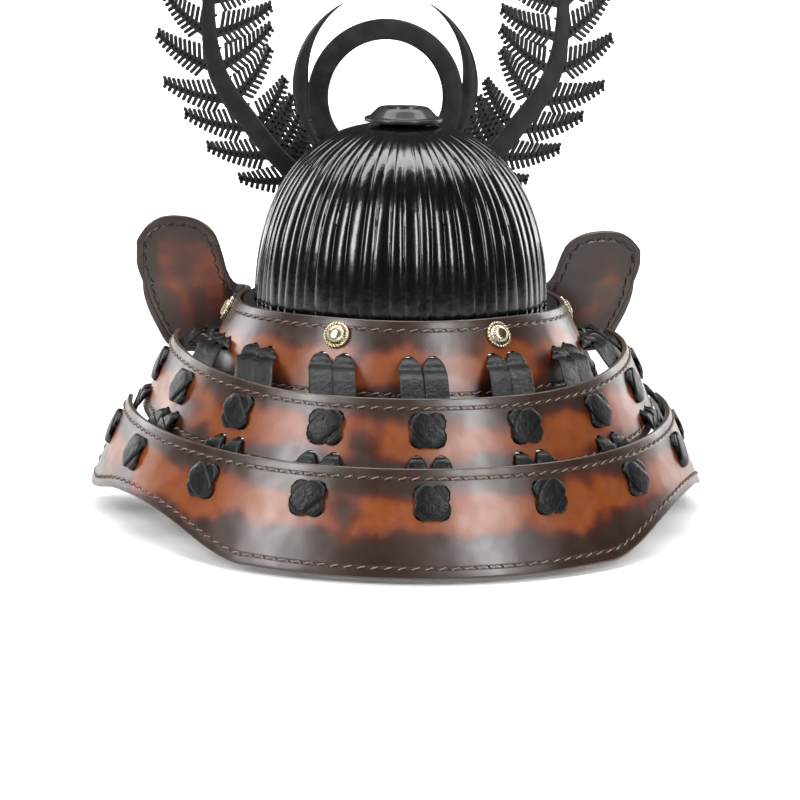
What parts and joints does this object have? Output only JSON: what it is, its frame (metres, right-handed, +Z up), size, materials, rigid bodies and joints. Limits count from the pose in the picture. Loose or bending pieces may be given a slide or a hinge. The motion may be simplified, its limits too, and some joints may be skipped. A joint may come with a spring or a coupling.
{
  "type": "kabuto samurai helmet, a half-size display helmet",
  "caption": "Kabuto helmet: ribbed black bowl with a pierced crown ring, neck guard of laced leather lames with turned-out ears, visor, and a fern crest round a ring and crescent.",
  "frame": {"origin": "centre of the plane of the bowl's rim, where a head or a head-shaped stand holds the helmet", "axes": "+Z up through the crown, -Y towards the face side with the visor and the crest, +X towards the wearer's left"},
  "size_m": [0.2502, 0.2355, 0.2417],
  "materials": {
    "bowl_lacquer": "gloss black lacquer",
    "burnished_leather": "vegetable-tanned cowhide, burnished dark at the edges, satin",
    "lace_leather": "black leather lacing, satin",
    "stud_brass": "antique pale brass with a milled rim",
    "crest_metal": "brown-black lacquered sheet metal, satin"
  },
  "bodies": {
    "root": {"bowl": "bowl_lacquer", "finial": "bowl_lacquer", "rim_band": "bowl_lacquer", "visor": "bowl_lacquer", "lame_top": "burnished_leather", "lame_middle": "burnished_leather", "lame_bottom": "burnished_leather", "crest_base": "crest_metal", "crest_ring": "crest_metal", "crest_crescent": "crest_metal", "fern_left": "crest_metal", "fern_right": "crest_metal", "lace_upper_1": "lace_leather", "lace_upper_2": "lace_leather", "lace_upper_3": "lace_leather", "lace_upper_4": "lace_leather", "lace_upper_5": "lace_leather", "lace_upper_6": "lace_leather", "lace_upper_7": "lace_leather", "lace_upper_8": "lace_leather", "lace_upper_9": "lace_leather", "lace_lower_1": "lace_leather", "lace_lower_2": "lace_leather", "lace_lower_3": "lace_leather", "lace_lower_4": "lace_leather", "lace_lower_5": "lace_leather", "lace_lower_6": "lace_leather", "lace_lower_7": "lace_leather", "lace_lower_8": "lace_leather", "lace_lower_9": "lace_leather", "stud_1": "stud_brass", "stud_2": "stud_brass", "stud_3": "stud_brass", "stud_4": "stud_brass"}
  },
  "joints": []
}
